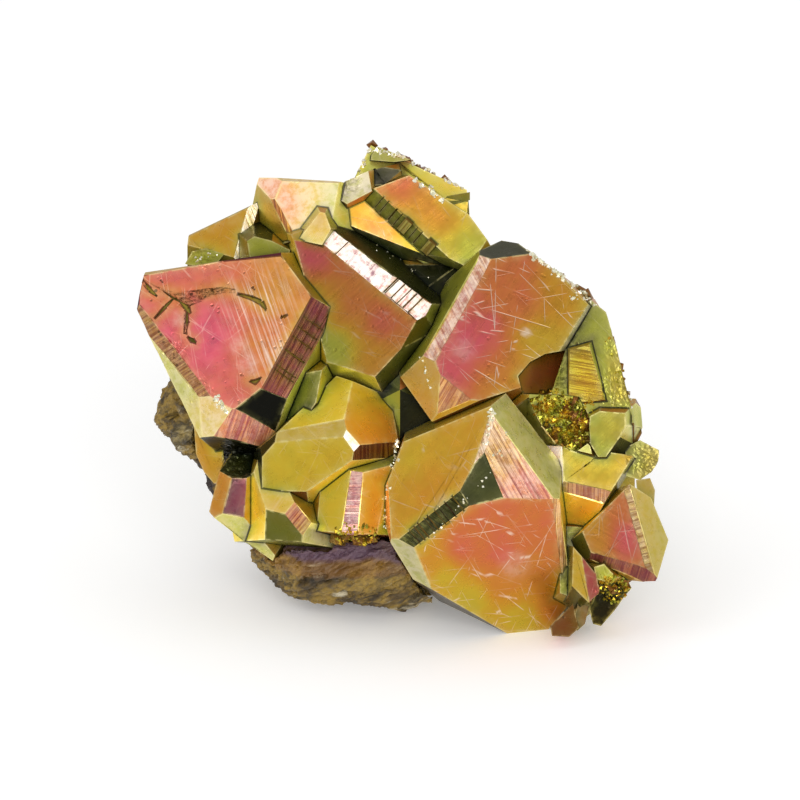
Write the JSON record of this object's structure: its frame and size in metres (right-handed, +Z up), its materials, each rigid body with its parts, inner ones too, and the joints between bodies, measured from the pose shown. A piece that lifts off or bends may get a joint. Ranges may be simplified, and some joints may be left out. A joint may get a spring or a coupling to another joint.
{
  "type": "mineral specimen",
  "caption": "Free-standing cluster of intergrown pyrite octahedra with bevelled edges and an iridescent chalcopyrite skin, on a broken piece of brown matrix rock.",
  "frame": {"origin": "centre of the bounding box on the plane on which the specimen rests", "axes": "+X to the right as seen from the front, +Y towards the back, +Z up"},
  "size_m": [0.0526, 0.0366, 0.0437],
  "materials": {
    "tarnished_pyrite": "bright metallic faces with an iridescent tarnish from golden yellow through orange and magenta to green, fine growth striations and scratches",
    "matrix": "rough, dull brown broken rock with small pale streaks"
  },
  "bodies": {
    "root": {"crystal_cluster": "tarnished_pyrite", "matrix_rock": "matrix"}
  },
  "joints": []
}
